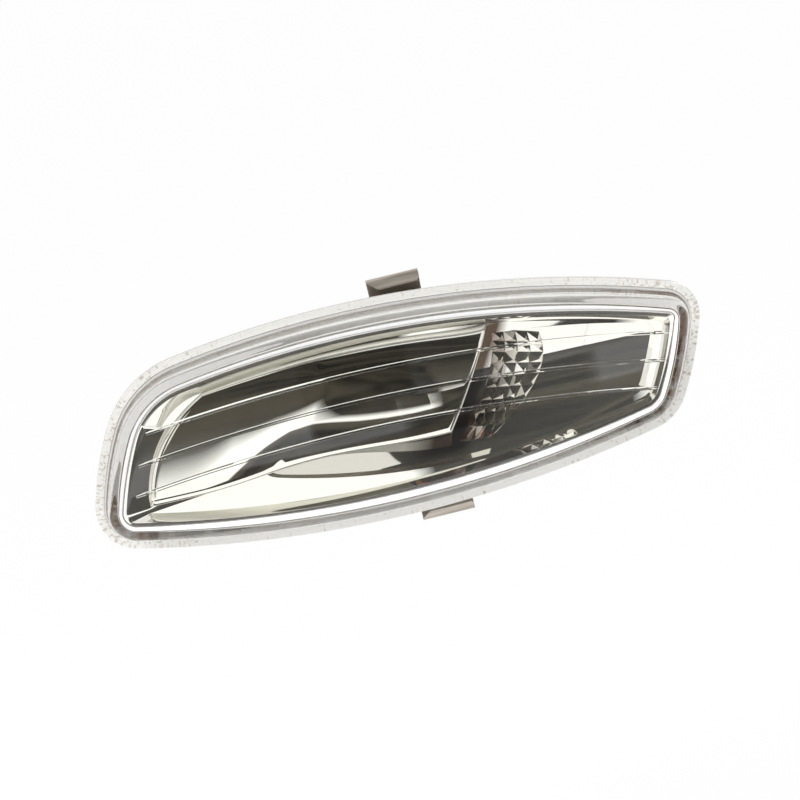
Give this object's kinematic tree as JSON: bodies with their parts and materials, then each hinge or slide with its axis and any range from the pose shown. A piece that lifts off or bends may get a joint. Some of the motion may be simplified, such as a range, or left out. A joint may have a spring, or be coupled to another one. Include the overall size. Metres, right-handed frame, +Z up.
{
  "type": "side repeater lamp",
  "caption": "Clear side repeater lamp with a crowned lens, a metallised reflector with a bulb mask and small facets, two spring clips and a twist-in bulb holder.",
  "frame": {"origin": "middle of the panel opening, on the outside of the body panel, where the gasket rests", "axes": "+X along the lamp, +Y into the car body (the lens looks along -Y), +Z up on the car body, towards the upper clip"},
  "size_m": [0.116, 0.0482, 0.046],
  "materials": {
    "lens_clear": "clear, polished",
    "mirror_coat": "vacuum metallised",
    "mask_coat": "vacuum metallised",
    "housing_grey": "moulded",
    "sealant": "hot melt",
    "foam": "closed-cell foam",
    "spring_steel": "bare strip",
    "holder_plastic": "moulded",
    "seal_rubber": "moulded",
    "contact_brass": "stamped",
    "amber_glass": "clear, polished",
    "wire_metal": "drawn",
    "tungsten": "drawn"
  },
  "bodies": {
    "root": {"lens": "lens_clear", "reflector": "mirror_coat", "bulb_mask": "mask_coat", "housing": "housing_grey", "sealing_bead": "sealant", "panel_gasket": "foam", "upper_clip": "spring_steel", "lower_clip": "spring_steel", "bulb_holder": "holder_plastic", "holder_seal": "seal_rubber", "left_contact": "contact_brass", "right_contact": "contact_brass", "bulb_glass": "amber_glass", "left_lead_wire": "wire_metal", "right_lead_wire": "wire_metal", "filament": "tungsten"}
  },
  "joints": []
}
